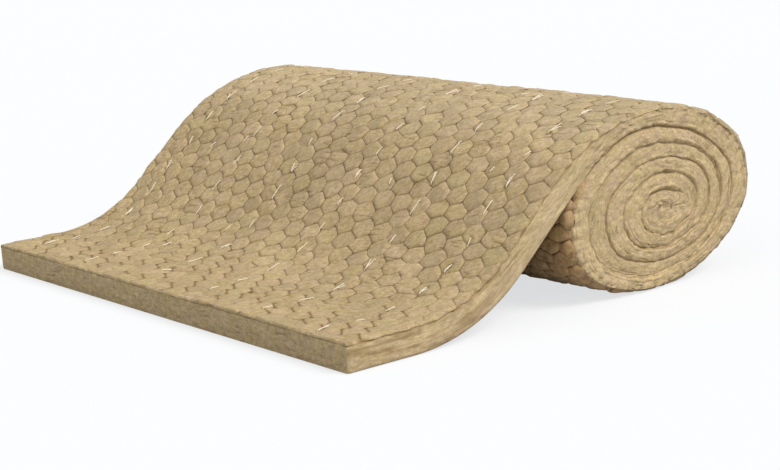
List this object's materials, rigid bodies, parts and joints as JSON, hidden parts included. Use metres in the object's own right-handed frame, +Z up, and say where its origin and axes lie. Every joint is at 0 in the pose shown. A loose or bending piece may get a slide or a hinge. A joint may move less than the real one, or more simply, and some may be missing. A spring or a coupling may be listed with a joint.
{
  "type": "insulation roll",
  "caption": "Mineral wool blanket faced with hexagonal wire netting, rolled up, with its outer end drawn out over a slope and flat along the floor.",
  "frame": {"origin": "on the floor, at the middle of the box round the whole blanket", "axes": "+X from the cut end towards the roll, +Y across the blanket's width, +Z up"},
  "size_m": [0.4523, 0.6, 0.1588],
  "materials": {
    "wool": "matt fibrous stone wool",
    "wire": "galvanized netting and stitching wire"
  },
  "bodies": {
    "root": {"wool_blanket": "wool"}
  },
  "joints": []
}
